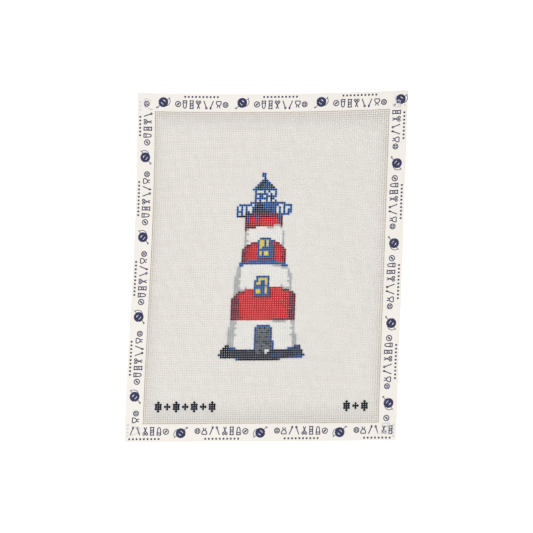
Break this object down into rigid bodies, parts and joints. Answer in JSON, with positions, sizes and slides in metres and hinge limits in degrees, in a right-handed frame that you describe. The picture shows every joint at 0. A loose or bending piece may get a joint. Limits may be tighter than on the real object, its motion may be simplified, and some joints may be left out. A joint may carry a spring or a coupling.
{
  "type": "painted needlepoint canvas",
  "caption": "Open-weave cotton needlepoint canvas with taped edges, hand painted with a striped lighthouse to stitch over, lying flat.",
  "frame": {"origin": "middle of the sheet, on the surface that it lies on", "axes": "+Y up the painted picture, +X to the picture's right, +Z out of the painted face"},
  "size_m": [0.1786, 0.219, 0.0014],
  "materials": {
    "canvas_thread": "open weave of stiffened cotton thread",
    "edge_tape": "matt printed paper tape",
    "black_paint": "matt paint soaked into cotton thread",
    "blue_paint": "matt paint soaked into cotton thread",
    "white_paint": "matt paint soaked into cotton thread",
    "slate_paint": "matt paint soaked into cotton thread",
    "grey_paint": "matt paint soaked into cotton thread",
    "red_paint": "matt paint soaked into cotton thread",
    "maroon_paint": "matt paint soaked into cotton thread",
    "yellow_paint": "matt paint soaked into cotton thread"
  },
  "bodies": {
    "root": {"canvas": "canvas_thread", "tape_left": "edge_tape", "tape_right": "edge_tape", "tape_top": "edge_tape", "tape_bottom": "edge_tape", "rock": "black_paint", "rock_highlight": "blue_paint", "doorstep_glint": "white_paint", "door": "slate_paint", "door_shadow": "black_paint", "door_surround": "blue_paint", "lower_wall": "white_paint", "lower_wall_shade": "grey_paint", "lower_band": "red_paint", "lower_band_shade": "maroon_paint", "lower_window_frame": "blue_paint", "lower_window_light": "yellow_paint", "middle_wall": "white_paint", "middle_wall_shade": "grey_paint", "band_trim": "blue_paint", "middle_band": "red_paint", "middle_band_shade": "maroon_paint", "upper_window_frame": "blue_paint", "upper_window_light": "yellow_paint", "upper_wall": "white_paint", "upper_wall_shade": "grey_paint", "upper_band": "red_paint", "upper_band_shade": "maroon_paint", "gallery_brackets": "blue_paint", "gallery_deck": "black_paint", "gallery_rail_left": "blue_paint", "gallery_rail_right": "blue_paint", "watch_room": "blue_paint", "watch_room_shade": "black_paint", "lantern_frame": "blue_paint", "lantern_glass": "white_paint", "roof": "blue_paint", "roof_shade": "black_paint", "finial": "blue_paint", "mark_left": "black_paint", "mark_right": "black_paint"}
  },
  "joints": []
}
